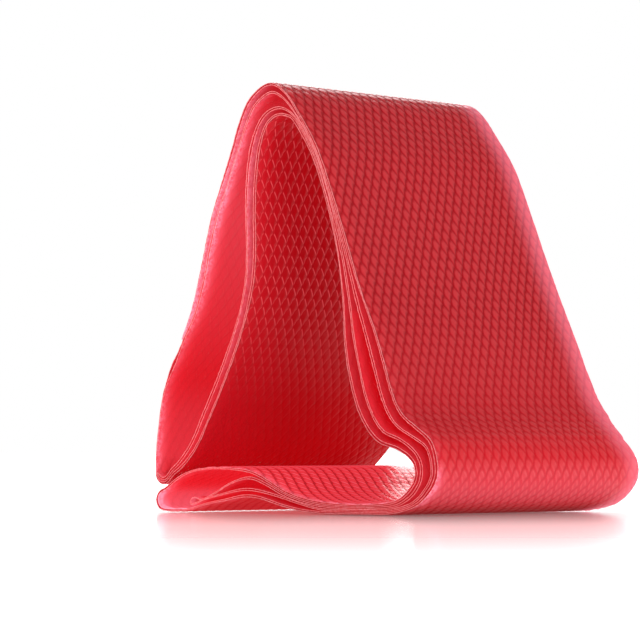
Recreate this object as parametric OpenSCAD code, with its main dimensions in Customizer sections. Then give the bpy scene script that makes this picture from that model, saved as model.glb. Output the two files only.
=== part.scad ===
// Light thermoplastic bicycle inner tube, pressed flat and put away as a free-standing roll.
// The closed tube is laid double, wound twice into a flat hank, and the hank is bent into a
// three-cornered roll. The valve stands inside the roll, on the top layer of its base.

/* [Tube] */
// Width of the tube when it is pressed flat
tube_w = 64; // [40:1:90]
// Thickness of the flat tube, both walls together
tube_t = 0.3; // [0.2:0.02:0.4]
// Air left between two layers of the roll
layer_gap = 0.46; // [0.44:0.02:0.6]

/* [Roll] */
// Length of the roll along the floor
roll_l = 75.5; // [62:0.5:92]
// Height of the roll
roll_h = 86; // [71:0.5:104]
// Place of the valve along the flat run of the base
valve_place = 40.4; // [40:0.2:42.4]
// How far the valve sits from the middle of the tube's width
valve_across = 9; // [-20:1:20]

/* [Valve] */
// Outside diameter of the valve stem
stem_d = 6; // [5:0.1:7.2]
// Height of the stem's top above the tube
stem_h = 26; // [21.5:0.5:28]
// Diameter of the stem's narrow top, which takes the dust cap
tip_d = 5.2; // [4.7:0.1:5.6]
// Length of the stem's narrow top
tip_l = 6; // [5:0.5:7]
// Diameter of the air passage in the lower stem
air_d = 2.2; // [1.8:0.1:2.4]
// Diameter of the moulded boot's skirt
boot_d = 11; // [9.2:0.2:11.6]
// Height of the moulded boot
boot_h = 5; // [4:0.2:6]

/* [Valve core] */
// Diameter of the core's body
core_d = 3.7; // [3.3:0.1:3.8]
// Length of the core inside the stem
core_l = 14; // [11.5:0.5:15]
// Diameter of the core's pin
pin_d = 1.3; // [1.1:0.05:1.5]
// Stroke of the pin from shut to open
pin_stroke = 1.6; // [1.3:0.1:1.8]
// Diameter of the knurled lock nut
lock_d = 4; // [3.4:0.1:4.2]
// Height of the knurled lock nut
lock_h = 2.2; // [1.8:0.1:2.4]
// How far the lock nut screws down from rest
lock_down = 1.5; // [1:0.1:1.6]
// How far the lock nut screws up from rest
lock_up = 0.9; // [0.5:0.1:1]

/* [Cap and rim nut] */
// Outside diameter of the dust cap
cap_d = 7; // [6.8:0.1:7.2]
// Wall of the dust cap's closed top
cap_wall = 1; // [0.8:0.1:1.2]
// Diameter of the rim nut
rim_nut_d = 10; // [8.6:0.1:11]
// Height of the rim nut
rim_nut_h = 3; // [2.4:0.1:3.6]
// Height of the rim nut above the boot
rim_nut_rise = 2; // [1:0.2:2.4]

/* [Hidden] */
$fn = 48;

// The roll: how far the layers lie apart, and how deep the stack of four is round its core line
layers = 4;
pitch = tube_t + layer_gap;
core_r = pitch / 2;
half_stack = core_r + (layers - 1) * pitch + tube_t / 2;

// Stations along the hank's core, from its upper end at the left corner, up the left leg, over
// the top, down the right leg, round the nose and back along the floor to its lower end. Each has
// a point on the outer side of the core, a point on its inner side, and the extra air between the
// two pairs of layers on the outer side and on the inner side.
function closed(x, z, outer_air = 0, inner_air = 0) = [x, z, x, z, outer_air, inner_air];
function open(outer, inner, outer_air = 0, inner_air = 0) =
    [outer[0], outer[1], inner[0], inner[1], outer_air, inner_air];
stations = [
    closed(0, 6.1),
    open([0, 9.8], [4.4, 9.7]),
    open([0.6, 14.3], [8.3, 13.3]),
    open([1.6, 19.6], [11.3, 17.3]),
    open([4, 25.8], [14.3, 22.3]),
    open([6.8, 31], [17.3, 27.8]),
    open([9.7, 36.5], [20.3, 34.3]),
    open([12.1, 43.8], [22.7, 42.3]),
    open([14, 51.3], [23.7, 50.3]),
    open([15.8, 57.3], [23.6, 57.3]),
    open([18.3, 63.3], [23.7, 63.3]),
    open([21.1, 69.8], [24.3, 69.3]),
    open([23.3, 75.8], [25.7, 73.9]),
    open([25.8, 79.3], [27.7, 76.7]),
    open([29.5, 80.7], [30.7, 77.9]),
    open([32.8, 78.5], [33.7, 76.3]),
    open([35.9, 74.3], [36.2, 73.1]),
    open([39.5, 68.3], [39.3, 68.1]),
    closed(43.3, 59.8),
    open([47.1, 49.8], [46.5, 49.6]),
    open([50.9, 40.3], [49.1, 39.7], 0.3, 0.2),
    open([54.9, 31.8], [51.9, 30.6], 0.8, 0.6),
    open([57.9, 23.3], [54.7, 22.2], 1, 1),
    open([60.7, 16.7], [58.6, 15.3], 0.6, 0.6),
    open([64.9, 13.1], [63.8, 12.1], 0.2, 0.2),
    open([68.9, 10.3], [68.5, 9.9]),
    closed(70, 6.3),
    closed(67.9, 2.5),
    closed(63.8, 0.3),
    closed(58, 0),
    closed(50, 0),
    closed(42, 0),
    closed(34, 0),
    closed(30, 1),
    closed(26, 2.6, 0, 0.2),
    closed(22, 3.2, 0, 0.4),
    closed(17, 2.5, 0, 1),
    closed(11.8, 1.3, 0, 1.6),
    closed(6.3, 0.1, 0, 1.2),
    closed(2.8, 0, 0, 0.4),
    closed(0, 0),
];
// The two inner layers turn back three stations before the core's lower end
inner_end = len(stations) - 4;
// The double tube steps in by one pair of layers between these two stations of the left leg
step_from = 3;
step_to = 5;
steps = 3;
end_turn_points = 7;
fold_points = 4;

// A smooth curve through the stations
function between(a, b, c, d, t) =
    (2 * b + (c - a) * t + (2 * a - 5 * b + 4 * c - d) * t ^ 2 + (3 * b - a - 3 * c + d) * t ^ 3) / 2;
last_station = len(stations) - 1;
core = [
    for (i = [0:last_station - 1])
        for (k = [0:steps - 1])
            between(stations[max(i - 1, 0)], stations[i], stations[i + 1],
                    stations[min(i + 2, last_station)], k / steps),
    stations[last_station]
];

// The core line as drawn is stretched to the length and height of the roll
drawn_x = [for (c = core) c[0]];
drawn_z = [for (c = core) c[1]];
stretch_x = (roll_l - 2 * half_stack) / (max(drawn_x) - min(drawn_x));
// The upper end always rests clear on the lower one, whatever the height of the roll
drawn_end_z = stations[0][1];
end_z = 2 * half_stack + layer_gap;
low_stretch = end_z / drawn_end_z;
high_stretch = (roll_h - 2 * half_stack - end_z) / (max(drawn_z) - drawn_end_z);
function place(x, z) =
    [half_stack + (x - min(drawn_x)) * stretch_x - roll_l / 2,
     half_stack + min(max(z, 0), drawn_end_z) * low_stretch + max(z - drawn_end_z, 0) * high_stretch];
outer_core = [for (c = core) place(c[0], c[1])];
inner_core = [for (c = core) place(c[2], c[3])];
outer_air = [for (c = core) c[4]];
inner_air = [for (c = core) c[5]];

// Directions square to a line: out of the roll, since the core runs clockwise
function left_of(v) = [-v[1], v[0]] / norm(v);
function square_to(line, i) = left_of(line[min(i + 1, len(line) - 1)] - line[max(i - 1, 0)]);
outer_out = [for (i = [0:len(core) - 1]) square_to(outer_core, i)];
inner_out = [for (i = [0:len(core) - 1]) square_to(inner_core, i)];

// Layer 0 lies next to the core and layer 3 furthest from it, on both sides
function depth(layer, air) = core_r + layer * pitch + air * min(max(layer - 1, 0), 1);
function outer_point(i, layer) = outer_core[i] + outer_out[i] * depth(layer, outer_air[i]);
function inner_point(i, layer) = inner_core[i] - inner_out[i] * depth(layer, inner_air[i]);

// A round turn about a centre, clockwise from one direction to another, without its two ends
function angle_of(v) = atan2(v[1], v[0]);
function round_turn(centre, r, from, to, count) =
    let (a = angle_of(from), b = angle_of(to), sweep = (a > b) ? a - b : a - b + 360)
    [for (k = [1:count]) let (f = a - sweep * k / (count + 1)) centre + r * [cos(f), sin(f)]];

// One turn of a layer round the hank, from the step on the left leg back to it
first = step_from * steps;
after = step_to * steps;
function lower_end(layer) = (layer < 2 ? inner_end : last_station) * steps;
function turn(layer) =
    let (end = lower_end(layer))
    concat(
        [for (i = [after:end]) outer_point(i, layer)],
        round_turn(outer_core[end], depth(layer, inner_air[end] / 2), outer_out[end], -inner_out[end],
                   end_turn_points),
        [for (i = [end:-1:0]) inner_point(i, layer)],
        round_turn(outer_core[0], depth(layer, 0), -inner_out[0], outer_out[0], end_turn_points),
        [for (i = [0:first]) outer_point(i, layer)]
    );
function ease(t) = t * t * (3 - 2 * t);
function strand(layer) =
    concat(
        turn(layer),
        [for (i = [first + 1:after - 1]) outer_point(i, layer - 2 * ease((i - first) / (after - first)))],
        turn(layer - 2)
    );

// A fold where one strand of the double tube turns back as the other
function fold(i, layer, way) =
    let (out = outer_out[i], along = [out[1], -out[0]] * way)
    let (centre = outer_core[i] + out * depth(layer + 0.5, outer_air[i]))
    [for (k = [1:fold_points]) let (f = 180 * k / (fold_points + 1))
        centre + pitch / 2 * (way * out * cos(f) + along * sin(f))];
function backwards(list) = [for (i = [len(list) - 1:-1:0]) list[i]];
loop = concat(strand(3), fold(first, 0, 1), backwards(strand(2)), fold(after, 2, -1));
loop_count = len(loop);
function loop_at(i) = loop[(i + loop_count) % loop_count];
function loop_side(i, way) = loop_at(i) + left_of(loop_at(i + 1) - loop_at(i - 1)) * way * tube_t / 2;

// Least air between the tube and itself, measured from points to the stretches beyond their own bend
own_bend = 10;
function to_stretch(p, a, b) =
    let (d = b - a, t = max(0, min(1, ((p - a) * d) / (d * d))))
    norm(a + d * t - p);
function least_gap() =
    min([for (i = [0:2:loop_count - 1]) for (k = [0:loop_count - 1])
        if (abs(i - k) > own_bend && abs(i - k) < loop_count - own_bend)
            to_stretch(loop_at(i), loop_at(k), loop_at(k + 1))]) - tube_t;
function loop_length() =
    [for (i = [0:loop_count - 1]) norm(loop_at(i + 1) - loop_at(i))] * [for (i = [0:loop_count - 1]) 1];

// The valve: heights are above the tube layer that it stands on. A low roll has a shorter stem.
stem_top = min(stem_h, 0.303 * roll_h);
valve_x = place(valve_place, 0)[0];
valve_z = 2 * half_stack;
moulded_fit = 0.03;
running_fit = 0.05;
stem_r = stem_d / 2;
flange_r = boot_d / 2 - 1.5;
flange_z = 0.6;
flange_t = 0.9;
skirt_t = 0.5;
boot_top_r = stem_r + 1.2;
core_r_bore = core_d / 2 + moulded_fit;
core_z = stem_top - core_l;
collar_t = 0.9;
core_top = stem_top + 3;
flat_w = 3.2;
neck_r = pin_d / 2 + 0.55;
mouth_z = core_z + 0.8;
gasket_z = core_z + 2;
gasket_t = 1.2;
seal_r = pin_d / 2 + 0.75;
seal_t = 1.3;
head_t = 0.6;
seal_z = mouth_z - running_fit - seal_t;
head_z = seal_z - moulded_fit - head_t;
pin_bore_r = pin_d / 2 + running_fit;
clear_air = 0.3;
room_z = head_z - pin_stroke - clear_air;
lock_z = core_top + pin_stroke + lock_down + clear_air;
pin_top = lock_z + lock_h + lock_up + 0.8;
upset_r = pin_d / 2 + 0.25;
upset_t = 0.5;
cap_z = stem_top - tip_l + clear_air;
cap_top = pin_top + clear_air + cap_wall;
cap_bore_r = tip_d / 2 + running_fit;
cap_room_r = cap_bore_r - 0.15;
rim_nut_z = boot_h + rim_nut_rise;
rim_nut_r = rim_nut_d / 2;
rim_nut_bore_r = stem_r + running_fit;
lock_r = lock_d / 2;
cap_r = cap_d / 2;

module at_valve() {
    translate([valve_x, valve_across, valve_z]) children();
}

// Flutes cut round a revolved piece for the fingers
module flutes(count, r, flute_r, z, h) {
    for (i = [0:count - 1])
        rotate(i * 360 / count)
            translate([r, 0, z])
                cylinder(r = flute_r, h = h, $fn = 24);
}

// The flat tube, a closed loop of one width and thickness, wound into the roll
module inner_tube() {
    echo(least_gap_mm = least_gap(), loop_length_mm = loop_length());
    color("#d92b3e")
        rotate([90, 0, 0])
            linear_extrude(tube_w, center = true)
                polygon(
                    concat([for (i = [0:loop_count - 1]) loop_side(i, 1)],
                           [for (i = [0:loop_count - 1]) loop_side(i, -1)]),
                    [[for (i = [0:loop_count - 1]) i], [for (i = [0:loop_count - 1]) loop_count + i]]
                );
}

// The moulded boot that is welded to the tube and grips the stem's foot
module valve_boot() {
    color("#c8243a")
        at_valve()
            rotate_extrude()
                difference() {
                    polygon([[0, 0], [boot_d / 2, 0], [boot_d / 2 - 0.2, skirt_t],
                             [flange_r + 0.6, flange_z + flange_t + 0.6],
                             [boot_top_r + 0.4, boot_h - 0.8], [boot_top_r, boot_h], [0, boot_h]]);
                    translate([0, flange_z - moulded_fit])
                        square([flange_r + moulded_fit, flange_t + 2 * moulded_fit]);
                    square([stem_r + moulded_fit, boot_h + 1]);
                }
}

// The metal stem: foot flange, shank, narrow top, air passage and the seat of the core
module valve_stem() {
    color("#c9ccd0")
        at_valve()
            rotate_extrude()
                difference() {
                    union() {
                        translate([0, flange_z])
                            square([flange_r, flange_t]);
                        translate([0, flange_z])
                            square([stem_r, stem_top - tip_l - flange_z]);
                        square([tip_d / 2, stem_top]);
                    }
                    square([air_d / 2, stem_top + 1]);
                    translate([0, room_z])
                        square([core_r_bore, stem_top]);
                    square([stem_r + 1, flange_z]);
                }
}

// The round nut that holds the stem in the rim
module rim_nut() {
    color("#b9bcc2")
        at_valve()
            difference() {
                rotate_extrude()
                    translate([0, rim_nut_z])
                        polygon([[rim_nut_bore_r, 0.3], [rim_nut_bore_r + 0.3, 0], [rim_nut_r - 0.5, 0],
                                 [rim_nut_r, 0.5], [rim_nut_r, rim_nut_h - 0.5], [rim_nut_r - 0.5, rim_nut_h],
                                 [rim_nut_bore_r + 0.3, rim_nut_h], [rim_nut_bore_r, rim_nut_h - 0.3]]);
                flutes(18, rim_nut_r + 0.3, 0.55, rim_nut_z - 1, rim_nut_h + 2);
            }
}

// The brass body of the core, with its neck, collar and two spanner flats
module core_body() {
    color("#c8a85a")
        at_valve()
            difference() {
                rotate_extrude()
                    difference() {
                        union() {
                            translate([0, mouth_z])
                                square([neck_r, core_l]);
                            translate([0, gasket_z + gasket_t])
                                square([core_d / 2, stem_top - gasket_z - gasket_t]);
                            translate([0, stem_top])
                                square([tip_d / 2 - 0.2, collar_t]);
                            translate([0, stem_top + collar_t])
                                square([tip_d / 2 - 0.5, core_top - stem_top - collar_t]);
                        }
                        square([pin_bore_r, core_top + 1]);
                    }
                for (side = [-1, 1])
                    translate([-core_d, side < 0 ? -core_d - flat_w / 2 : flat_w / 2, stem_top + collar_t])
                        cube([2 * core_d, core_d, core_top]);
            }
}

// The ring that seals the core in the stem
module core_gasket() {
    color("#2a2a2c")
        at_valve()
            rotate_extrude()
                translate([0, gasket_z])
                    polygon([[neck_r + moulded_fit, 0], [core_d / 2 - 0.3, 0], [core_d / 2, 0.3],
                             [core_d / 2, gasket_t - moulded_fit],
                             [neck_r + moulded_fit, gasket_t - moulded_fit]]);
}

// The pin: head below the seal, stem through the core and a burred top that keeps the nut on
module core_pin() {
    color("#d6bb74")
        at_valve()
            rotate_extrude()
                union() {
                    translate([0, head_z])
                        square([seal_r, head_t]);
                    translate([0, head_z])
                        square([pin_d / 2, pin_top - head_z]);
                    translate([0, pin_top - upset_t])
                        square([upset_r, upset_t]);
                }
}

// The rubber cone on the pin that shuts the core's mouth
module core_seal() {
    color("#1f1f21")
        at_valve()
            rotate_extrude()
                translate([0, seal_z])
                    polygon([[pin_d / 2 + moulded_fit, 0], [seal_r, 0], [seal_r, 0.5],
                             [neck_r - 0.15, seal_t], [pin_d / 2 + moulded_fit, seal_t]]);
}

// The small knurled nut that locks the pin shut
module core_lock_nut() {
    color("#cfb26a")
        at_valve()
            difference() {
                rotate_extrude()
                    translate([0, lock_z])
                        polygon([[pin_bore_r, 0], [lock_r - 0.3, 0], [lock_r, 0.3], [lock_r, lock_h - 0.5],
                                 [lock_r - 0.5, lock_h], [pin_bore_r, lock_h]]);
                flutes(12, lock_r + 0.18, 0.3, lock_z - 1, lock_h + 2);
            }
}

// The screwed plastic cap over the core
module dust_cap() {
    color("#2b2b2e")
        at_valve()
            difference() {
                rotate_extrude()
                    difference() {
                        polygon([[0, cap_z], [cap_r - 0.2, cap_z], [cap_r, cap_z + 0.2],
                                 [cap_r, stem_top + 2],
                                 [cap_r - 0.3, cap_top - 1.2], [cap_r - 1.2, cap_top - 0.2],
                                 [cap_r - 2, cap_top], [0, cap_top]]);
                        square([cap_bore_r, stem_top + clear_air]);
                        square([cap_room_r, cap_top - cap_wall]);
                    }
                flutes(12, cap_r + 0.25, 0.45, cap_z + 1.2, stem_top - cap_z);
            }
}

inner_tube();
valve_boot();
valve_stem();
rim_nut();
core_body();
core_gasket();
core_pin();
core_seal();
core_lock_nut();
dust_cap();
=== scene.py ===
import math

import bpy
import numpy as np
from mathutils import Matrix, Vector


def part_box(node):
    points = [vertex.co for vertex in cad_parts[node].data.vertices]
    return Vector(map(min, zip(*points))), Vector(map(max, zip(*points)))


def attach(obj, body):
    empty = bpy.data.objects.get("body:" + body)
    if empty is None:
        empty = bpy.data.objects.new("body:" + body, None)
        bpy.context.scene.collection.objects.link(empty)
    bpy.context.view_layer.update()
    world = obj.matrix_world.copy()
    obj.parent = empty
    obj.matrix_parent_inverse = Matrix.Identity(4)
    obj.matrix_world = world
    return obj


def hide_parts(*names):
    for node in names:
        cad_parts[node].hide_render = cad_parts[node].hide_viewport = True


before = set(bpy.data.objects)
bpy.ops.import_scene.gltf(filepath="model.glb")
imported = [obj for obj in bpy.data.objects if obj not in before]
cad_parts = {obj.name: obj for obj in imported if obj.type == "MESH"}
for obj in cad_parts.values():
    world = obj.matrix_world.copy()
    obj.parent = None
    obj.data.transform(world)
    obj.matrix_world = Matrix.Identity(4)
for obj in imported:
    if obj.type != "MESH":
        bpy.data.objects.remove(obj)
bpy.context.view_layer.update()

# Inner tube
# A closed loop of light thermoplastic tube, pressed flat, with a fine diamond lattice embossed in
# both faces. It is laid double, wound twice into a flat hank, and bent into a standing roll.
MM = 0.001
tube_width = 64.0
tube_thick = 0.13
least_pitch = 0.2
widest_pitch = 0.44  # from one layer to the next, where the hank has room
layer_gaps = 6  # three on each side of the hank
roll_length = 75.5
roll_height = 86.0
diamonds_across = 24
diamond_across = tube_width / diamonds_across
diamond_along = 4.25
emboss_height = 0.19
open_air = 2.4  # a face with this much air before it can be seen, and carries the emboss
pair_air = 0.6  # less air than this lies between the two layers of a pair
clear_air = 90.0  # a face with more air than this before it looks out of the roll

# Stations round the roll, in mm from its left corner and the floor: the outer line, the line that
# faces the bore, and the air between the two pairs of layers on the outer and on the inner side.
roll_stations = [
    ((0.1, 8.4), (4.9, 6.9), 0.0, 0.0),
    ((0.1, 11.6), (8.4, 9.2), 0.2, 0.3),
    ((0.7, 16.9), (12.3, 13.2), 0.4, 0.6),
    ((1.9, 23.2), (15.3, 18.0), 0.5, 0.8),
    ((4.4, 29.6), (18.7, 23.8), 0.6, 0.9),
    ((7.1, 34.8), (22.4, 31.2), 0.1, 0.9),
    ((9.9, 40.5), (25.6, 38.4), 0.7, 0.9),
    ((12.2, 47.3), (27.7, 45.5), 0.9, 1.0),
    ((14.1, 54.5), (28.3, 52.6), 0.7, 1.2),
    ((15.9, 60.4), (28.2, 59.5), 0.7, 1.3),
    ((18.6, 66.4), (28.5, 66.0), 0.7, 1.3),
    ((21.3, 72.8), (29.2, 71.6), 0.7, 1.2),
    ((23.6, 78.8), (30.3, 75.4), 0.8, 1.0),
    ((26.6, 83.4), (31.9, 77.8), 0.9, 0.8),
    ((32.0, 86.0), (34.4, 78.9), 1.0, 0.6),
    ((36.4, 83.7), (36.9, 78.4), 0.5, 0.3),
    ((40.1, 79.1), (38.4, 77.4), 0.0, 0.0),
    ((44.9, 72.0), (42.9, 70.8), 0.0, 0.0),
    ((49.0, 62.4), (46.7, 61.5), 0.0, 0.0),
    ((52.5, 53.4), (49.4, 52.4), 0.2, 0.2),
    ((56.3, 43.8), (50.9, 42.4), 0.7, 0.8),
    ((60.0, 35.6), (51.5, 34.0), 1.4, 1.5),
    ((62.5, 29.0), (52.5, 28.0), 1.7, 1.8),
    ((64.6, 23.2), (54.3, 21.8), 1.7, 1.8),
    ((66.8, 19.7), (56.9, 17.2), 1.5, 1.6),
    ((70.4, 17.2), (60.5, 13.9), 1.0, 1.3),
    ((74.0, 14.6), (65.4, 12.5), 0.6, 0.9),
    ((75.5, 10.6), (69.0, 10.2), 0.4, 0.6),
    ((75.4, 7.0), (69.5, 7.5), 0.3, 0.4),
    ((73.2, 3.9), (67.8, 5.0), 0.2, 0.3),
    ((69.2, 1.3), (64.4, 3.0), 0.0, 0.1),
    ((62.3, 0.0), (59.0, 2.4), 0.0, 0.0),
    ((54.0, 0.0), (52.4, 2.3), 0.0, 0.0),
    ((46.0, 0.0), (45.6, 2.7), 0.0, 0.0),
    ((39.6, 0.5), (40.2, 3.6), 0.6, 0.0),
    ((34.4, 1.5), (35.6, 5.0), 0.8, 0.0),
    ((29.4, 2.7), (31.0, 7.2), 0.5, 0.1),
    ((25.0, 3.0), (26.8, 8.7), 0.5, 0.4),
    ((19.9, 2.2), (22.0, 9.2), 0.7, 2.1),
    ((14.6, 1.4), (16.6, 9.3), 0.6, 4.75),
    ((10.2, 0.3), (11.2, 8.8), 0.3, 5.7),
    ((5.6, 0.0), (6.8, 7.4), 0.1, 2.0),
    ((2.4, 0.0), (2.6, 4.9), 0.0, 0.0),
]
inner_pair_end = len(roll_stations) - 3  # the inner pair of layers turns back at this station
step_from, step_to = 0, 5  # between these the outer pair dives under and becomes the inner pair
base_start = 31  # from this station on, the roll lies on the table
samples = 8  # points from one station to the next


def smooth_line(rows):
    """A smooth curve through rows of numbers, with even samples between two rows."""
    rows = np.array(rows, float)
    ends = np.vstack([rows[:1], rows, rows[-1:]])
    out = []
    for i in range(len(rows) - 1):
        a, b, c, d = ends[i:i + 4]
        for t in np.arange(samples) / samples:
            out.append((2 * b + (c - a) * t + (2 * a - 5 * b + 4 * c - d) * t**2
                        + (3 * b - a - 3 * c + d) * t**3) / 2)
    return np.array(out + [rows[-1]])


def left_of(line):
    """Directions square to an open line, on its left."""
    along = np.gradient(line, axis=0)
    return np.stack([-along[:, 1], along[:, 0]], 1) / np.linalg.norm(along, axis=1)[:, None]


stations = smooth_line([(*outer, *bore, *air) for outer, bore, *air in roll_stations])
stations[:, 1] = np.maximum(stations[:, 1], 0)
outer_line, bore_line = stations[:, :2], stations[:, 2:4]
outer_air, inner_air = stations[:, 4], stations[:, 5]
outer_out, bore_out = left_of(outer_line), left_of(bore_line)
face_depth = tube_thick / 2 + emboss_height
spare_room = 0.1
room = np.abs(np.sum((outer_line - bore_line) * outer_out, axis=1))
room -= outer_air + inner_air + 2 * face_depth + spare_room


def nearby(values, pick):
    """What pick makes of the numbers within one station of each number."""
    return np.array([pick(values[max(i - samples, 0):i + samples + 1]) for i in range(len(values))])


pitch = nearby(nearby(np.clip(room / layer_gaps, least_pitch, widest_pitch), np.min), np.mean)
# On the left leg, up to station 6, the outer layers are pressed together by the fold.
fold_press = np.interp(np.arange(len(pitch)), (6 * samples, 12 * samples), (0.5, 1))
outer_pitch = pitch * fold_press


def layer_depth(layer, pitch, air):
    """How far in from the roll's face a layer lies; layer 3 is next to that face."""
    return face_depth + (3 - layer) * pitch + air * min(max(2 - layer, 0), 1)


def outer_point(i, layer):
    """A point of a layer on the outer side of the hank."""
    return outer_line[i] - outer_out[i] * layer_depth(layer, outer_pitch[i], outer_air[i])


def inner_point(i, layer):
    """A point of a layer on the side that faces the bore."""
    return bore_line[i] + bore_out[i] * layer_depth(layer, pitch[i], inner_air[i])


def round_end(start, end, count=9):
    """A half turn, clockwise, between two points that face each other."""
    middle, arm = (start + end) / 2, (start - end) / 2
    turns = np.pi * np.arange(1, count + 1) / (count + 1)
    return [middle + arm * math.cos(f) + np.array([arm[1], -arm[0]]) * math.sin(f) for f in turns]


first, after = step_from * samples, step_to * samples


def turn(layer):
    """One turn of a layer round the hank, from the step on the left leg back to it."""
    end = (inner_pair_end if layer < 2 else len(roll_stations) - 1) * samples
    there = [outer_point(i, layer) for i in range(after, end + 1)]
    back = [inner_point(i, layer) for i in range(end, -1, -1)]
    last = [outer_point(i, layer) for i in range(0, first + 1)]
    return there + round_end(there[-1], back[0]) + back + round_end(back[-1], last[0]) + last


def strand(layer):
    """One of the two strands of the double tube: an outer turn, a late dive inwards, an inner turn."""
    steps = ((np.arange(first + 1, after) - first) / (after - first))**4
    inwards = [outer_point(first + 1 + k, layer - 2 * t * t * (3 - 2 * t)) for k, t in enumerate(steps)]
    return turn(layer) + inwards + turn(layer - 2)


def fold(i, layer, way):
    """The fold where one strand of the double tube turns back as the other."""
    out = outer_out[i] * outer_pitch[i] / 2
    along = np.array([out[1], -out[0]]) * way
    middle = outer_line[i] - outer_out[i] * layer_depth(layer + 0.5, outer_pitch[i], outer_air[i])
    turns = np.pi * np.arange(1, 5) / 5
    return [middle + way * out * math.cos(f) + along * math.sin(f) for f in turns]


loop = np.array(strand(3) + fold(first, 0, 1) + strand(2)[::-1] + fold(after, 2, -1))
steps = np.linalg.norm(np.roll(loop, -1, 0) - loop, axis=1)
loop = loop[steps > 1e-6]
reach = np.concatenate([[0], np.cumsum(np.linalg.norm(np.roll(loop, -1, 0) - loop, axis=1))])
loop_length = reach[-1]
rows_per_diamond = 6
row_count = round(loop_length / diamond_along) * rows_per_diamond
diamond_along = loop_length * rows_per_diamond / row_count
closed = np.vstack([loop, loop[:1]])
row_reach = np.arange(row_count) * loop_length / row_count
centre = np.stack([np.interp(row_reach, reach, closed[:, k]) for k in (0, 1)], 1)
for _ in range(2):
    centre = (np.roll(centre, 1, 0) + 2 * centre + np.roll(centre, -1, 0)) / 4
along = np.roll(centre, -1, 0) - np.roll(centre, 1, 0)
normal = np.stack([-along[:, 1], along[:, 0]], 1) / np.linalg.norm(along, axis=1)[:, None]


def air_before(side):
    """How far each row of the tube sees along its normal before it meets the tube again."""
    a, b = centre, np.roll(centre, -1, 0)
    found = np.full(row_count, clear_air + 9)
    edge = b - a
    for i in range(row_count):
        ray = normal[i] * side
        gap = a - (centre[i] + ray * 0.01)
        cross = ray[0] * edge[:, 1] - ray[1] * edge[:, 0]
        cross[np.abs(cross) < 1e-12] = 1e-12
        far = (gap[:, 0] * edge[:, 1] - gap[:, 1] * edge[:, 0]) / cross
        where = (gap[:, 0] * ray[1] - gap[:, 1] * ray[0]) / cross
        apart = np.minimum(np.abs(np.arange(row_count) - i), row_count - np.abs(np.arange(row_count) - i))
        hit = (far > 0) & (where >= 0) & (where <= 1) & (apart > 3)
        if hit.any():
            found[i] = far[hit].min()
    return found - tube_thick


def spread(flags, count):
    """Flags grown by count rows each way round the loop."""
    return np.any([np.roll(flags, k) for k in range(-count, count + 1)], axis=0)


columns = diamonds_across * rows_per_diamond // 2  # half the steps across the width
step_across = diamond_across / rows_per_diamond
verts, faces, coords, lights, backs, marks = [], [], [], [], [], []
edges_of = {}


def ramp(values, start, end):
    """From 0 at the start to 1 at the end, and level beyond them."""
    return np.clip((values - start) / (end - start), 0, 1)


turns_round = 2 * np.pi * np.arange(row_count) / row_count
edge_wave = 0.10 * np.sin(turns_round * 29) + 0.07 * np.sin(turns_round * 83 + 1) - 0.1
edge_wave += 0.13 * (np.random.default_rng(5).random(row_count) - 0.8)  # the edge is ragged
far_lean = 2.4  # the roll's top leans this far to the left at the far edge
far_toe = 3.8  # and so does the foot of its left leg
far_nose = ((6, 10.6, 14.6, 17.2, 19.7, 23.2, 29, 36),  # heights, and the nose's lean at each
            (0, -0.2, -1.9, -0.4, 1.3, 0.8, 0.2, 0))
base_top = bore_line[base_start * samples:][::-1]


def far_shift(x, z):
    """How far a point at the far edge lies to the right of the same point at the near edge."""
    leg = ramp(x, 40, 25) * (z > np.interp(x, base_top[:, 0], base_top[:, 1]) + 0.25)
    nose = ramp(x, 45, 60) * np.interp(z, *far_nose)
    return nose - far_lean * z / roll_height - far_toe * leg * math.exp(-((z - 9) / 14)**2)


def tube_point(row, m, side, lift):
    """Adds a point of the film's face with all its map values, and gives its number."""
    x, z = centre[row] + normal[row] * side * (tube_thick / 2 + lift)
    y = m * step_across + math.copysign(edge_wave[row] * (abs(m) / columns)**8, m)
    x += far_shift(x, z) * (0.5 + y / tube_width)
    verts.append(((x - roll_length / 2) * MM, y * MM, max(z, 0.02) * MM))
    coords.append((m / rows_per_diamond, row / rows_per_diamond))
    lights.append((glow[row], pale[row]))
    backs.append((backlit[row], plain[row]))
    marks.append((marked[row], dashed[row]))
    return len(verts) - 1


def emboss(row, m):
    """Height of the lattice, 1 on a pad. Grooves of one slant are deep, the others shallow."""
    deep, shallow = [((row + way * m) // 2) % 3 == 0 for way in (1, -1)]
    return 0.0 if deep else 0.3 if shallow else 1.0


def inside_hank(points):
    """Which points lie in the hank's core, between its outer line and the line of the bore."""
    ring = np.vstack([outer_line, bore_line[::-1]])
    a, b = ring, np.roll(ring, -1, 0)
    found = np.zeros(len(points), bool)
    for (ax, az), (bx, bz) in zip(a, b):
        if az != bz:
            over = (az > points[:, 1]) != (bz > points[:, 1])
            found ^= over & (points[:, 0] < ax + (points[:, 1] - az) * (bx - ax) / (bz - az))
    return found


def even(values, count):
    """Numbers along the loop, averaged over count rows each way."""
    return np.mean([np.roll(values, k) for k in range(-count, count + 1)], axis=0)


def bell(values, middle, width):
    """From 1 at the middle, falling off on both sides."""
    return np.exp(-((values - middle) / width)**2)


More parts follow.
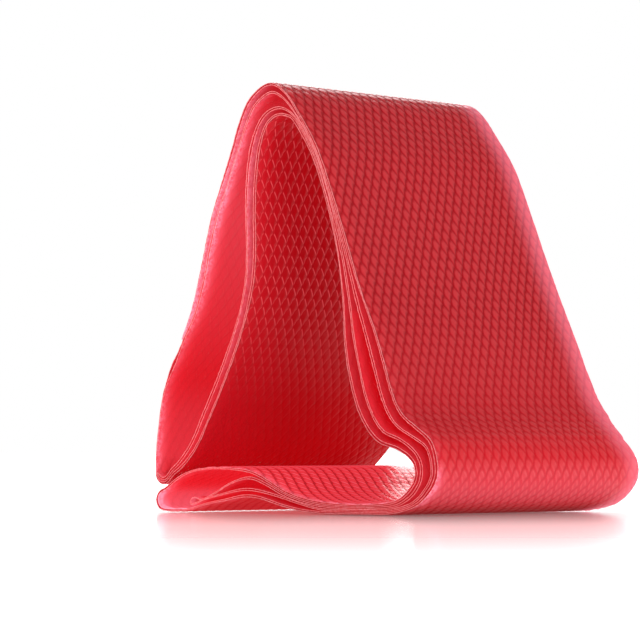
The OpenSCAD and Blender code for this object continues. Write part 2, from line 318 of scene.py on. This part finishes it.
blur = 5  # rows over which the painted glow and pale light are spread
for side in (1, -1):
    air = air_before(side)
    x, z = centre.T
    looks_out = air > clear_air
    seen = spread(~spread(~spread(air > open_air, 6), 6), 6)
    # A painted highlight band along the nose, low down at its right end.
    nose_highlight_band = ramp(x, 62, 68) * bell(z, 5.3, 1.9)
    lift = ramp(air, 0.1, 0.1 + open_air) * emboss_height * seen
    lift = np.minimum.reduce([np.roll(lift, k) for k in range(-3, 4)])
    lift *= 1 - 0.7 * nose_highlight_band * looks_out  # worn flatter along the nose
    # Painted glow, from 0 to 1, put into the film's emission in place of the light that passes through it: most
    # in the hank's core, less in the bore, little on the faces that look out, more low down, a painted
    # highlight along the nose and a painted glow under the left end.
    core = inside_hank(centre + normal * side * np.clip(air / 2, 0.2, 2)[:, None])
    faces_up = np.clip(normal[:, 1] * side, 0, 1) * ramp(z, 14, 10) * ~core  # on the base alone
    left = ramp(x, 34, 18)
    underside = looks_out * ramp(x, 36, 28) * (z < 4.5)
    in_core = 0.26 + left * (0.11 + 0.06 * ramp(z, 22, 8)) + 0.04 * ramp(x, 45, 55)
    in_bore = 0.15 * z / 80 + 0.64 * faces_up
    outside = (0.04 + 0.07 * ramp(z, 55, 0) + 0.23 * ramp(x, 60, 68) * bell(z, 8, 7)) * ramp(z, 0.5, 4.5)
    outside += 0.24 * underside
    glow = np.where(core, in_core, np.where(looks_out, outside, in_bore))
    glow = even(glow * (0.75 + 0.25 * (air > pair_air)), blur)
    # Painted pale light in the emission, where few layers stand against the room: on the left leg, at the left
    # end of the base and under it, a painted highlight on the base and along the nose, and at the folds.
    pale = core * left * (0.05 + 0.37 * ramp(z, 25, 60)) + 0.3 * core * ramp(x, 4, 0)
    pale += 0.8 * core * ramp(x, 12, 8) * ramp(z, 4.5, 2.5) + 0.05 * underside
    pale += (0.18 + 0.2 * ramp(x, 40, 58)) * faces_up * ~looks_out + 0.7 * nose_highlight_band * looks_out
    pale += 0.18 * looks_out * ramp(x, 14, 6) * ramp(z, 0, 3)
    from_fold = np.minimum(row_reach, loop_length - row_reach)
    pale = pale * (0.3 + 0.7 * (air > pair_air)) + 0.5 * bell(from_fold, 0, 10)
    pale = even(np.clip(pale, 0, 1), blur)
    # How the lattice is painted: lit from behind, as thin lines alone, as grooves in painted shade, as pale
    # dashes of painted glint.
    backlit = even(np.where(~looks_out & (faces_up < 0.3), 1.0, 0.0), blur)
    plain = even(np.where(looks_out, 0.9 * nose_highlight_band, faces_up), blur)
    marked = np.where(looks_out, (0.3 + 0.7 * ramp(z, 10, 42)) * (1 - 0.7 * nose_highlight_band),
                      1 - 0.5 * faces_up * ramp(x, 55, 40))
    dashed = np.where(core, 0.25, ramp(z, 22, 44))
    grid = []
    for row in range(row_count):
        cells = {}
        for m in range(-columns, columns + 1):
            if abs(m) == columns:
                cells[m] = tube_point(row, m, side, 0.0)
            elif (row + m) % 2 == 0 and seen[row]:
                cells[m] = tube_point(row, m, side, lift[row] * emboss(row, m))
        grid.append(cells)
    edges_of[side] = [(cells[-columns], cells[columns]) for cells in grid]
    for row in range(row_count):
        here, there = grid[row], grid[(row + 1) % row_count]
        low, high = sorted(here), sorted(there)
        i = j = 0
        while i < len(low) - 1 or j < len(high) - 1:
            if j == len(high) - 1 or (i < len(low) - 1 and low[i + 1] <= high[j + 1]):
                face = (here[low[i]], there[high[j]], here[low[i + 1]])
                i += 1
            else:
                face = (here[low[i]], there[high[j]], there[high[j + 1]])
                j += 1
            faces.append(face if side > 0 else face[::-1])
for row in range(row_count):
    nxt = (row + 1) % row_count
    for end in (0, 1):
        a, b = edges_of[1][row][end], edges_of[1][nxt][end]
        c, d = edges_of[-1][row][end], edges_of[-1][nxt][end]
        face = (a, c, d, b)
        faces.append(face if end else face[::-1])


def mesh_object(name, verts, faces, maps=None, crease=None):
    """A smooth mesh object from points and faces, with maps of two numbers at each point."""
    mesh = bpy.data.meshes.new(name)
    mesh.from_pydata(verts, [], faces)
    mesh.polygons.foreach_set("use_smooth", [True] * len(mesh.polygons))
    for key, values in (maps or {}).items():
        layer = mesh.uv_layers.new(name=key)
        corners = np.empty(len(mesh.loops), np.int32)
        mesh.loops.foreach_get("vertex_index", corners)
        layer.data.foreach_set("uv", np.array(values, np.float32)[corners].ravel())
    if crease:
        mesh.set_sharp_from_angle(angle=math.radians(crease))
    mesh.update()
    piece = bpy.data.objects.new(name, mesh)
    bpy.context.scene.collection.objects.link(piece)
    return piece


tube_maps = {"lattice": coords, "light": lights, "behind": backs, "lines": marks}
tube = mesh_object("flat_tube", verts, faces, tube_maps)


class Val:
    """A shader socket that takes part in Python expressions."""

    def __init__(self, tree, socket=None):
        self.tree, self.socket = tree, socket

    def node(self, kind, settings=None, out=0, **inputs):
        """Adds a node: its settings, then its inputs by name, or by number as i0, i1 and so on."""
        node = self.tree.nodes.new(kind)
        for key, value in (settings or {}).items():
            setattr(node, key, value)
        for key, value in inputs.items():
            numbered = key[0] == "i" and key[1:].isdigit()
            socket = node.inputs[int(key[1:]) if numbered else key.replace("_", " ")]
            if isinstance(value, Val):
                self.tree.links.new(value.socket, socket)
            else:
                socket.default_value = value
        return Val(self.tree, node.outputs[out])

    def maths(self, operation, *values):
        """Adds a Math node on values and numbers."""
        inputs = {f"i{k}": value for k, value in enumerate(values)}
        return self.node("ShaderNodeMath", {"operation": operation}, **inputs)

    def __add__(self, other): return self.maths("ADD", self, other)
    def __radd__(self, other): return self.maths("ADD", other, self)
    def __sub__(self, other): return self.maths("SUBTRACT", self, other)
    def __rsub__(self, other): return self.maths("SUBTRACT", other, self)
    def __mul__(self, other): return self.maths("MULTIPLY", self, other)
    def __rmul__(self, other): return self.maths("MULTIPLY", other, self)
    def abs(self): return self.maths("ABSOLUTE", self)
    def most(self, other): return self.maths("MAXIMUM", self, other)
    def wave(self): return self.maths("PINGPONG", self, 0.5)

    def between(self, low, high):
        """From 0 at low to 1 at high, with soft ends."""
        return self.node("ShaderNodeMapRange", {"interpolation_type": "SMOOTHSTEP"}, Value=self,
                         From_Min=low, From_Max=high)

    def tint(self, first, second):
        """A colour between two, by this number."""
        return self.node("ShaderNodeMix", {"data_type": "RGBA"}, out=2, i0=self, i6=first, i7=second)

    def part(self, axis):
        """One number of a vector."""
        return self.node("ShaderNodeSeparateXYZ", out="XYZ".index(axis), Vector=self)


def new_material(name, **constants):
    """A material with one Principled shader: the material, the shader, and a Val to build on."""
    material = bpy.data.materials.new(name)
    material.use_nodes = True
    shader = material.node_tree.nodes["Principled BSDF"]
    for key, value in constants.items():
        shader.inputs[key.replace("_", " ")].default_value = value
    return material, shader, Val(material.node_tree)


def feed(node, name, val):
    """Links a value to a named input of a node."""
    val.tree.links.new(val.socket, node.inputs[name])


film_red, clouded_red, pad_sheen_red = (0.63, 0.012, 0.022, 1), (0.54, 0.007, 0.019, 1), (0.60, 0.045, 0.055, 1)
groove_shade_red, glint_pink, rim_glow_pink = (0.34, 0.002, 0.008, 1), (0.95, 0.16, 0.16, 1), (0.90, 0.37, 0.35, 1)
dark, painted_glow_red, pale_glow_pink = (0, 0, 0, 1), (1.0, 0.004, 0.014, 1), (1.0, 0.40, 0.56, 1)
film, film_shader, v = new_material("embossed_red_film", IOR=1.5, Specular_IOR_Level=0.15, Coat_IOR=1.5,
                                    Coat_Roughness=0.24, Emission_Strength=1.0)
lattice = v.node("ShaderNodeUVMap", {"uv_map": "lattice"})
light = v.node("ShaderNodeUVMap", {"uv_map": "light"})
behind = v.node("ShaderNodeUVMap", {"uv_map": "behind"})
lines = v.node("ShaderNodeUVMap", {"uv_map": "lines"})
across, lengthwise = lattice.part("X"), lattice.part("Y")
glow_here, pale_here = light.part("X"), light.part("Y")
lit_through, thin = behind.part("X"), behind.part("Y")
# The lattice: the distance from the nearest groove of each slant, in diamonds, and the painted shade, sheen and
# glints drawn by it.
shallow = (lengthwise - across).wave()
deep = (across + lengthwise + shallow * 0.38).wave()
deep_groove = 1 - deep.between(0.0, 0.36)
shallow_groove = 1 - shallow.between(0.0, 0.26)
pad = (1 - deep_groove) * (1 - 0.85 * shallow_groove)
thin_lines = 1 - deep.between(0.04, 0.22)
# Painted highlight streaks on the pads of the base and the nose band.
highlight_streaks = deep.between(0.10, 0.28) * ((lengthwise - across) * 2).wave().between(0.20, 0.40) * thin
# Painted shade in the grooves: deep grooves dark, shallow ones less, thin lines alone where the film is smooth
# and bright, less where lit from behind.
groove_shade_lines = deep_groove.most(shallow_groove * 0.75) * (1 - thin) + thin_lines * thin
groove_shade_lines = groove_shade_lines * (1 - 0.85 * lit_through) * lines.part("X")
# Painted glints: short pale dashes along the ridges, on faces lit from behind.
glint_dashes = ((1 - deep.between(0.0, 0.10)) * shallow.between(0.10, 0.24) * 0.55).most(
    (1 - shallow.between(0.0, 0.10)) * deep.between(0.08, 0.2)) * lit_through * lines.part("Y")
# The edges, from how far across the width a point lies, again in diamonds, where the painted glow along the
# film's edges lies.
edge = diamonds_across / 2
to_edge = across.abs().between(edge - 1.8, edge)
at_edge = across.abs().between(edge - 0.7, edge)
rim = across.abs().between(edge - 0.06, edge)
far_edge = across.between(edge - 4, edge)
place = v.node("ShaderNodeTexCoord", out=3)
cloud = v.node("ShaderNodeTexNoise", Vector=place, Scale=55.0, Detail=3.0, Roughness=0.6)
grain = v.node("ShaderNodeTexNoise", Vector=place, Scale=2600.0, Detail=2.0, Roughness=0.5)
rim_glow_patches = v.node("ShaderNodeTexNoise", Vector=place, Scale=1500.0, Detail=3.0, Roughness=0.7).between(0.36, 0.62)
colour = (cloud * 0.5).tint(film_red, clouded_red)
# Painted sheen: the pads, and the smooth highlight zones on the base and nose, paler where the coat would catch
# the room.
colour = (pad.most(thin) * (1 - lit_through) * 0.6).tint(colour, pad_sheen_red)
# Painted shade: the grooves darkened, and the faces inside the roll a little; on the base and along the nose,
# black lines.
colour = groove_shade_lines.most(lit_through * 0.3).tint(colour, groove_shade_red)
colour = (groove_shade_lines * groove_shade_lines * thin * 0.8).tint(colour, dark)
# Painted glints and highlight streaks, pale pink, in the colour.
colour = (glint_dashes * 0.55).most(highlight_streaks * 0.4).tint(colour, glint_pink)
# Painted glow along the film's rims, in patches.
colour = (rim * (0.6 + 0.4 * rim_glow_patches)).tint(colour, rim_glow_pink)
feed(film_shader, "Base Color", colour)
feed(film_shader, "Roughness", 0.50 - pad * 0.14 + grain * 0.06 + groove_shade_lines * thin * 0.4)
polish = thin * (1 - groove_shade_lines)
feed(film_shader, "Coat Weight", pad.most(polish) * (0.36 - 0.26 * lit_through) + 0.25 * polish)
# Painted glow in the emission: red by the glow map, pink by the pale map, at the edges and far edge, on the
# glints and highlight streaks, and on the rims.
painted_glow_colour = (glow_here * (1 - 0.85 * groove_shade_lines) + 0.05 * to_edge).tint(dark, painted_glow_red)
pink = pale_here * (0.32 + 0.7 * to_edge * to_edge + 1.6 * at_edge * rim_glow_patches)
pink = pink.most(to_edge * to_edge * glow_here * 0.2) * (1 - 0.8 * groove_shade_lines)
pink = pink.most(far_edge * far_edge * (1 - lit_through) * 0.42)
pink = pink.most(glint_dashes * 0.12).most(highlight_streaks * 0.3)
pink = pink.most(rim * (0.4 + 0.6 * rim_glow_patches) * (0.13 + 0.2 * glow_here))
feed(film_shader, "Emission Color", pink.tint(painted_glow_colour, pale_glow_pink))
height = (deep.between(0.0, 0.24) + 0.8 * shallow.between(0.0, 0.22)) * (1 - 0.8 * thin) + grain * 0.08
feed(film_shader, "Normal", v.node("ShaderNodeBump", Strength=0.6, Distance=0.00014, Height=height))
through = v.node("ShaderNodeBsdfTranslucent", Color=(0.95, 0.08, 0.14, 1))
surface = v.node("ShaderNodeMixShader", i0=0.22, i1=Val(v.tree, film_shader.outputs[0]), i2=through)
feed(v.tree.nodes["Material Output"], "Surface", surface)
tube.data.materials.append(film)
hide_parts("inner_tube")
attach(tube, "tube")

# Valve boot
# The moulded foot of the valve, of the same thermoplastic as the tube, welded to the film of the
# base. Its skirt follows the film, and it grips the stem above it.
boot_low, boot_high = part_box("valve_boot")
valve_x, valve_y = (boot_low.x + boot_high.x) / 2, (boot_low.y + boot_high.y) / 2
boot_rings = [  # radius in mm, and height as a share of the way from the film to the boot's top
    (3.04, -0.02), (5.50, -0.02), (5.50, 0.05), (5.36, 0.09), (5.02, 0.12), (4.84, 0.17), (4.74, 0.30),
    (4.66, 0.60), (4.60, 0.84), (4.52, 0.92), (4.38, 0.97), (4.20, 1.00), (3.20, 1.00), (3.04, 0.97),
]
boot_film_end = 39  # beyond this station the film turns up, away from the boot
base_run = bore_line[base_start * samples:boot_film_end * samples][::-1]


def closed_rings(name, rings, count, crease):
    """A piece turned about the valve's axis, from rings of points, the last joined to the first."""
    points = [p for ring in rings for p in ring]
    quads = []
    for i in range(len(rings)):
        j = (i + 1) % len(rings)
        for k in range(count):
            m = (k + 1) % count
            quads.append((i * count + k, i * count + m, j * count + m, j * count + k))
    return mesh_object(name, points, quads, crease=crease)


boot_sides = 64
rings = []
for radius, share in boot_rings:
    ring = []
    for k in range(boot_sides):
        angle = 2 * math.pi * k / boot_sides
        x = valve_x + radius * math.cos(angle) * MM
        film_z = np.interp(x / MM + roll_length / 2, base_run[:, 0], base_run[:, 1]) * MM
        ring.append((x, valve_y + radius * math.sin(angle) * MM, film_z + (boot_high.z - film_z) * share))
    rings.append(ring)
boot = closed_rings("moulded_boot", rings, boot_sides, 50)
moulded, boot_shader, v = new_material("moulded_red_foot", IOR=1.5, Coat_Weight=0.3, Coat_Roughness=0.2)
place = v.node("ShaderNodeTexCoord", out=3)
flow = v.node("ShaderNodeTexNoise", Vector=place, Scale=420.0, Detail=4.0, Roughness=0.6, Distortion=0.8)
pits = v.node("ShaderNodeTexNoise", Vector=place, Scale=5200.0, Detail=2.0)
feed(boot_shader, "Base Color", flow.tint((0.44, 0.006, 0.014, 1), (0.60, 0.016, 0.030, 1)))
feed(boot_shader, "Roughness", 0.30 + flow * 0.12 + pits * 0.06)
feed(boot_shader, "Normal", v.node("ShaderNodeBump", Strength=0.25, Distance=0.00003, Height=flow + pits * 0.4))
boot.data.materials.append(moulded)
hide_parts("valve_boot")
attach(boot, "tube")

# Valve stem
# A turned aluminium stem with a foot flange in the boot, a rolled thread up its shank for the rim
# nut, and a narrower threaded top for the dust cap. Its bore takes the valve core.
stem_low, stem_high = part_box("valve_stem")
stem_foot, stem_top = stem_low.z / MM, stem_high.z / MM
shoulder = stem_top - 6.0
shank, narrow, foot, bore, core_seat = 3.0, 2.6, 4.0, 1.1, 1.88  # radii
shank_pitch, narrow_pitch = 0.8, 0.64
boot_top = boot_high.z / MM
stem_sides = 40


def thread(z, angle, low, high, pitch, depth):
    """How deep the thread is cut at a place, running out at both ends of its length."""
    run_out = min(max((z - low) / pitch, 0), max((high - z) / pitch, 0), 1)
    turn = (z / pitch - angle / (2 * math.pi)) % 1
    return depth * run_out * min(1, abs(2 * turn - 1) * 1.5)


stem_steps = [(bore, stem_foot), (foot - 0.15, stem_foot), (foot, stem_foot + 0.15), (foot, stem_foot + 0.75),
              (foot - 0.15, stem_foot + 0.9), (shank, stem_foot + 0.9)]
stem_steps += [(shank, z) for z in np.arange(boot_top - 0.4, shoulder - 0.35, shank_pitch / 8)]
stem_steps += [(shank, shoulder - 0.3), (shank - 0.3, shoulder), (narrow - 0.15, shoulder),
               (narrow - 0.15, shoulder + 0.3)]
stem_steps += [(narrow, z) for z in np.arange(shoulder + 0.45, stem_top - 0.3, narrow_pitch / 8)]
stem_steps += [(narrow, stem_top - 0.25), (narrow - 0.25, stem_top), (core_seat + 0.07, stem_top),
               (core_seat, stem_top - 0.1), (core_seat, stem_top - 13.5), (bore, stem_top - 13.6)]
rings = []
for radius, z in stem_steps:
    ring = []
    for k in range(stem_sides):
        angle = 2 * math.pi * k / stem_sides
        r = radius
        if radius == shank:
            r -= thread(z, angle, boot_top + 0.3, shoulder - 0.5, shank_pitch, 0.26)
        elif radius == narrow:
            r -= thread(z, angle, shoulder + 0.4, stem_top - 0.3, narrow_pitch, 0.2)
        ring.append((valve_x + r * math.cos(angle) * MM, valve_y + r * math.sin(angle) * MM, z * MM))
    rings.append(ring)
stem = closed_rings("threaded_stem", rings, stem_sides, 60)


def turned_metal(name, dull, bright, roughness):
    """Metal from a lathe: fine rings round the axis, and stains that no cleaning takes off."""
    metal, shader, v = new_material(name, Metallic=1.0)
    place = v.node("ShaderNodeTexCoord", out=3)
    cut = v.node("ShaderNodeTexNoise", {"noise_dimensions": "1D"}, W=place.part("Z"), Scale=9000.0, Detail=2.0)
    stain = v.node("ShaderNodeTexNoise", Vector=place, Scale=700.0, Detail=4.0, Roughness=0.65)
    feed(shader, "Base Color", stain.between(0.35, 0.75).tint(bright, dull))
    feed(shader, "Roughness", roughness + cut * 0.12 + stain.between(0.5, 0.8) * 0.14)
    feed(shader, "Normal", v.node("ShaderNodeBump", Strength=0.3, Distance=0.00001, Height=cut))
    return metal


stem_metal = turned_metal("turned_aluminium", (0.52, 0.53, 0.55, 1), (0.80, 0.81, 0.83, 1), 0.20)
stem.data.materials.append(stem_metal)
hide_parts("valve_stem")
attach(stem, "tube")

# Rim nut
# A round aluminium nut with fluted sides, run along the stem's thread by hand to hold the valve in
# the rim. It keeps the shape it was built with.
rim_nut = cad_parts["rim_nut"]
rim_nut.data.materials.clear()
nut_metal = turned_metal("nut_aluminium", (0.58, 0.59, 0.60, 1), (0.86, 0.87, 0.88, 1), 0.26)
rim_nut.data.materials.append(nut_metal)

# Valve core
# Brass parts off a lathe: the body that screws into the stem, the pin through it, and the knurled
# nut that locks the pin shut. The gasket on the body and the cone on the pin are black rubber.
core_brass = turned_metal("turned_brass", (0.46, 0.30, 0.10, 1), (0.80, 0.60, 0.28, 1), 0.22)
seal_rubber, rubber_shader, v = new_material("seal_rubber", IOR=1.5, Specular_IOR_Level=0.4)
place = v.node("ShaderNodeTexCoord", out=3)
bloom = v.node("ShaderNodeTexNoise", Vector=place, Scale=900.0, Detail=4.0, Roughness=0.7)
speckle = v.node("ShaderNodeTexNoise", Vector=place, Scale=9000.0, Detail=2.0)
rubber_black, bloom_grey = (0.012, 0.012, 0.013, 1), (0.05, 0.05, 0.052, 1)
feed(rubber_shader, "Base Color", bloom.between(0.4, 0.8).tint(rubber_black, bloom_grey))
feed(rubber_shader, "Roughness", 0.52 + bloom * 0.2)
feed(rubber_shader, "Normal", v.node("ShaderNodeBump", Strength=0.3, Distance=0.00002, Height=speckle))
for node, finish in (("core_body", core_brass), ("core_pin", core_brass), ("core_lock_nut", core_brass),
                     ("core_gasket", seal_rubber), ("core_seal", seal_rubber)):
    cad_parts[node].data.materials.clear()
    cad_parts[node].data.materials.append(finish)

# Dust cap
# A cap moulded in black plastic, screwed over the stem's narrow top. The mould leaves a fine matt
# grain, and handling polishes its ribs.
cap_low, cap_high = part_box("dust_cap")
cap_plastic, cap_shader, v = new_material("moulded_black_plastic", IOR=1.46, Specular_IOR_Level=0.5)
place = v.node("ShaderNodeTexCoord", out=3)
spark = v.node("ShaderNodeTexVoronoi", Vector=place, Scale=4200.0)
worn = v.node("ShaderNodeTexNoise", Vector=place, Scale=500.0, Detail=4.0, Roughness=0.6)
from_axis = v.node("ShaderNodeVectorMath", {"operation": "DISTANCE"}, out=1,
                   i0=v.node("ShaderNodeVectorMath", {"operation": "MULTIPLY"}, i0=place, i1=(1, 1, 0)),
                   i1=(valve_x, valve_y, 0))
cap_radius = (cap_high.x - cap_low.x) / 2
rib_wear = from_axis.between(cap_radius - 0.0003, cap_radius) * worn.between(0.35, 0.7)
feed(cap_shader, "Base Color", rib_wear.tint((0.020, 0.020, 0.022, 1), (0.055, 0.055, 0.058, 1)))
feed(cap_shader, "Roughness", 0.50 + worn * 0.12 - rib_wear * 0.18)
feed(cap_shader, "Normal", v.node("ShaderNodeBump", Strength=0.35, Distance=0.00003, Height=spark))
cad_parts["dust_cap"].data.materials.clear()
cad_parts["dust_cap"].data.materials.append(cap_plastic)

# Studio
# A white glossy table in a bright white room, a soft light behind the roll that shines through it,
# and a low soft light in front.
bpy.ops.mesh.primitive_plane_add(size=6, location=(0, 0, -0.0001))
table = bpy.context.object
table.name = "table"
table_white, table_shader, v = new_material("white_table", Roughness=0.10, Specular_IOR_Level=0.5,
                                            Base_Color=(0.92, 0.92, 0.92, 1), Emission_Strength=1.0)
# Painted light on the table: its emission lifts the shadows on it, least next to the roll for a painted contact
# shade, and far off it burns out white.
place = v.node("ShaderNodeTexCoord", out=3)
off = v.node("ShaderNodeVectorMath", {"operation": "LENGTH"}, out=1, i0=place)
far_off = off.between(0.12, 0.52)
contact_shade_glow, shadow_lift_glow = (0.08, 0.08, 0.08, 1), (0.40, 0.40, 0.40, 1)
feed(table_shader, "Emission Color", off.between(0.03, 0.14).tint(contact_shade_glow, shadow_lift_glow))
burnt_out = v.node("ShaderNodeEmission", Color=(1, 1, 1, 1), Strength=1.9)
surface = v.node("ShaderNodeMixShader", i0=far_off, i1=Val(v.tree, table_shader.outputs[0]), i2=burnt_out)
feed(v.tree.nodes["Material Output"], "Surface", surface)
table.data.materials.append(table_white)

world = bpy.data.worlds.new("white_room")
bpy.context.scene.world = world
world.use_nodes = True
v = Val(world.node_tree)
upward = v.node("ShaderNodeTexCoord", out=0).part("Z")
room_white, ceiling_grey = (1, 1, 1, 1), (0.4, 0.4, 0.4, 1)
feed(world.node_tree.nodes["Background"], "Color", upward.between(0.15, 0.6).tint(room_white, ceiling_grey))
world.node_tree.nodes["Background"].inputs["Strength"].default_value = 1.0


def soft_light(name, at, aim, size, power):
    """A square lamp at a place, turned to what it is aimed at."""
    light = bpy.data.lights.new(name, "AREA")
    light.size, light.energy = size, power
    lamp = bpy.data.objects.new(name, light)
    lamp.location = at
    lamp.rotation_euler = (Vector(aim) - Vector(at)).to_track_quat("-Z", "Y").to_euler()
    bpy.context.scene.collection.objects.link(lamp)


soft_light("back_light", (-0.45, 0.35, 0.30), (0, 0, 0.04), 0.5, 3.0)
soft_light("front_light", (0.75, -0.30, 0.05), (0.03, 0, 0.01), 0.30, 2.6)

# Camera
# A long lens at table height, in front of the roll's right corner. It is turned a little to the left
# and up from level, which puts the roll in the picture where the photograph has it.
camera_at = Vector((0.47843, -0.55848, 0.014))
camera_turn = math.radians(41)  # from the roll's long axis
picture_size = 640  # pixels, across and down
focal_length = 3600  # pixels
level_pixel = (371, 443)  # where the level line of sight meets the picture
camera = bpy.data.objects.new("camera", bpy.data.cameras.new("camera"))
camera.data.sensor_width = 36
camera.data.lens = camera.data.sensor_width * focal_length / picture_size
camera.data.clip_start = 0.01
forward = Vector((-math.sin(camera_turn), math.cos(camera_turn), 0))
rightward = Vector((math.cos(camera_turn), math.sin(camera_turn), 0))
to_middle = ((picture_size / 2 - level_pixel[0]) / focal_length,
             (level_pixel[1] - picture_size / 2) / focal_length)
aim = forward + rightward * to_middle[0] + Vector((0, 0, 1)) * to_middle[1]
camera.location = camera_at
camera.rotation_euler = aim.to_track_quat("-Z", "Y").to_euler()
bpy.context.scene.collection.objects.link(camera)
bpy.context.scene.camera = camera
bpy.context.scene.view_settings.view_transform = "Standard"
